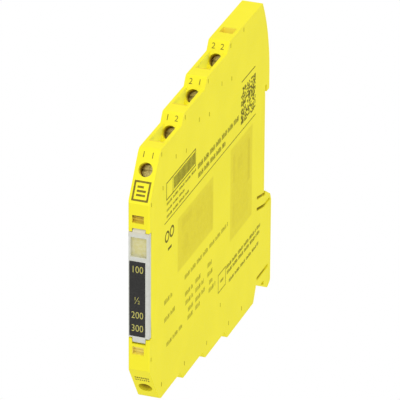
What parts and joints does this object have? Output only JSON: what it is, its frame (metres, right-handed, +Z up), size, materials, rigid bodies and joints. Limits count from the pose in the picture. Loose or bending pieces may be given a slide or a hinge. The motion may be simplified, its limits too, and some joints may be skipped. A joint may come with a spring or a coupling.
{
  "type": "safety relay",
  "caption": "Slim rail-mounted safety relay: stepped flat housing with screw clamps along both edges, a clear hinged front flap over a label, and a sprung rail foot.",
  "frame": {"origin": "on the seat that rests against the rail's front face, level with the rail's centre line and in the middle of the width", "axes": "+Y points from the front face back to the rail, +Z up along the rail's cross-section, +X along the rail to the right as seen from the front"},
  "size_m": [0.0062, 0.1023, 0.0941],
  "materials": {
    "chip_black": "dark moulded case",
    "led_lens": "milky lens",
    "board_green": "green lacquered laminate",
    "cage_steel": "zinc plated steel",
    "bar_copper": "tinned copper alloy",
    "clear_flap": "frosted translucent plastic",
    "housing_yellow": "satin moulded plastic",
    "light_guide_clear": "clear plastic light guide",
    "label_dark": "matt dark label with light printing",
    "inductor_grey": "grey pressed ferrite",
    "foot_yellow": "satin moulded plastic",
    "relay_case": "dark moulded case with tinned leads",
    "capacitor_yellow": "moulded tantalum case",
    "screw_steel": "yellow passivated steel"
  },
  "bodies": {
    "housing": {"bridge_rectifier": "chip_black", "channel_led": "led_lens", "circuit_board": "board_green", "contact_bar_1": "bar_copper", "contact_bar_2": "bar_copper", "contact_bar_3": "bar_copper", "contact_bar_4": "bar_copper", "contact_bar_5": "bar_copper", "contact_bar_6": "bar_copper", "contact_bar_7": "bar_copper", "contact_bar_8": "bar_copper", "diagnosis_led": "led_lens", "error_led": "led_lens", "fuse": "chip_black", "housing_cover": "housing_yellow", "housing_shell": "housing_yellow", "light_guide": "light_guide_clear", "microcontroller_1": "chip_black", "microcontroller_2": "chip_black", "optocoupler_1": "chip_black", "optocoupler_2": "chip_black", "power_inductor": "inductor_grey", "power_led": "led_lens", "safety_relay_1": "relay_case", "safety_relay_2": "relay_case", "smoothing_capacitor_1": "capacitor_yellow", "smoothing_capacitor_2": "capacitor_yellow", "suppressor_diode": "chip_black"},
    "flap": {"front_flap": "clear_flap", "marking_label": "label_dark"},
    "foot": {"rail_foot": "foot_yellow"},
    "screw_1": {"terminal_screw_1": "screw_steel"},
    "cage_1": {"clamp_cage_1": "cage_steel"},
    "screw_2": {"terminal_screw_2": "screw_steel"},
    "cage_2": {"clamp_cage_2": "cage_steel"},
    "screw_3": {"terminal_screw_3": "screw_steel"},
    "cage_3": {"clamp_cage_3": "cage_steel"},
    "screw_4": {"terminal_screw_4": "screw_steel"},
    "cage_4": {"clamp_cage_4": "cage_steel"},
    "screw_5": {"terminal_screw_5": "screw_steel"},
    "cage_5": {"clamp_cage_5": "cage_steel"},
    "screw_6": {"terminal_screw_6": "screw_steel"},
    "cage_6": {"clamp_cage_6": "cage_steel"},
    "screw_7": {"terminal_screw_7": "screw_steel"},
    "cage_7": {"clamp_cage_7": "cage_steel"},
    "screw_8": {"terminal_screw_8": "screw_steel"},
    "cage_8": {"clamp_cage_8": "cage_steel"}
  },
  "joints": [
    {"name": "flap_hinge", "type": "hinge", "parent": "housing", "child": "flap", "pos_m": [0, -0.0947, -0.0182], "axis": [1, 0, 0], "range_deg": [0, 95]},
    {"name": "foot_slide", "type": "slide", "parent": "housing", "child": "foot", "axis": [0, 0, -1], "range_m": [0, 0.0022], "stiffness_N_per_m": 2000, "springref_m": -0.0005},
    {"name": "screw_turn_1", "type": "hinge", "parent": "housing", "child": "screw_1", "pos_m": [0, -0.0903, 0.03162], "axis": [0, 0.8387, -0.5446], "range_deg": [0, 1280]},
    {"name": "cage_slide_1", "type": "slide", "parent": "housing", "child": "cage_1", "axis": [0, -0.8387, 0.5446], "range_m": [0, 0.0016]},
    {"name": "screw_turn_2", "type": "hinge", "parent": "housing", "child": "screw_2", "pos_m": [0, -0.0717, 0.03442], "axis": [0, 0.8387, -0.5446], "range_deg": [0, 1280]},
    {"name": "cage_slide_2", "type": "slide", "parent": "housing", "child": "cage_2", "axis": [0, -0.8387, 0.5446], "range_m": [0, 0.0016]},
    {"name": "screw_turn_3", "type": "hinge", "parent": "housing", "child": "screw_3", "pos_m": [0, -0.0531, 0.03722], "axis": [0, 0.8387, -0.5446], "range_deg": [0, 1280]},
    {"name": "cage_slide_3", "type": "slide", "parent": "housing", "child": "cage_3", "axis": [0, -0.8387, 0.5446], "range_m": [0, 0.0016]},
    {"name": "screw_turn_4", "type": "hinge", "parent": "housing", "child": "screw_4", "pos_m": [0, -0.0345, 0.04002], "axis": [0, 0.8387, -0.5446], "range_deg": [0, 1280]},
    {"name": "cage_slide_4", "type": "slide", "parent": "housing", "child": "cage_4", "axis": [0, -0.8387, 0.5446], "range_m": [0, 0.0016]},
    {"name": "screw_turn_5", "type": "hinge", "parent": "housing", "child": "screw_5", "pos_m": [0, -0.0903, -0.03522], "axis": [0, 0.8387, 0.5446], "range_deg": [0, 1280]},
    {"name": "cage_slide_5", "type": "slide", "parent": "housing", "child": "cage_5", "axis": [0, -0.8387, -0.5446], "range_m": [0, 0.0016]},
    {"name": "screw_turn_6", "type": "hinge", "parent": "housing", "child": "screw_6", "pos_m": [0, -0.0717, -0.03802], "axis": [0, 0.8387, 0.5446], "range_deg": [0, 1280]},
    {"name": "cage_slide_6", "type": "slide", "parent": "housing", "child": "cage_6", "axis": [0, -0.8387, -0.5446], "range_m": [0, 0.0016]},
    {"name": "screw_turn_7", "type": "hinge", "parent": "housing", "child": "screw_7", "pos_m": [0, -0.0531, -0.04082], "axis": [0, 0.8387, 0.5446], "range_deg": [0, 1280]},
    {"name": "cage_slide_7", "type": "slide", "parent": "housing", "child": "cage_7", "axis": [0, -0.8387, -0.5446], "range_m": [0, 0.0016]},
    {"name": "screw_turn_8", "type": "hinge", "parent": "housing", "child": "screw_8", "pos_m": [0, -0.0345, -0.04362], "axis": [0, 0.8387, 0.5446], "range_deg": [0, 1280]},
    {"name": "cage_slide_8", "type": "slide", "parent": "housing", "child": "cage_8", "axis": [0, -0.8387, -0.5446], "range_m": [0, 0.0016]}
  ],
  "couplings": [
    {"joint": "screw_turn_1", "follows": "cage_slide_1", "rad_per_m": 13960},
    {"joint": "screw_turn_2", "follows": "cage_slide_2", "rad_per_m": 13960},
    {"joint": "screw_turn_3", "follows": "cage_slide_3", "rad_per_m": 13960},
    {"joint": "screw_turn_4", "follows": "cage_slide_4", "rad_per_m": 13960},
    {"joint": "screw_turn_5", "follows": "cage_slide_5", "rad_per_m": 13960},
    {"joint": "screw_turn_6", "follows": "cage_slide_6", "rad_per_m": 13960},
    {"joint": "screw_turn_7", "follows": "cage_slide_7", "rad_per_m": 13960},
    {"joint": "screw_turn_8", "follows": "cage_slide_8", "rad_per_m": 13960}
  ]
}
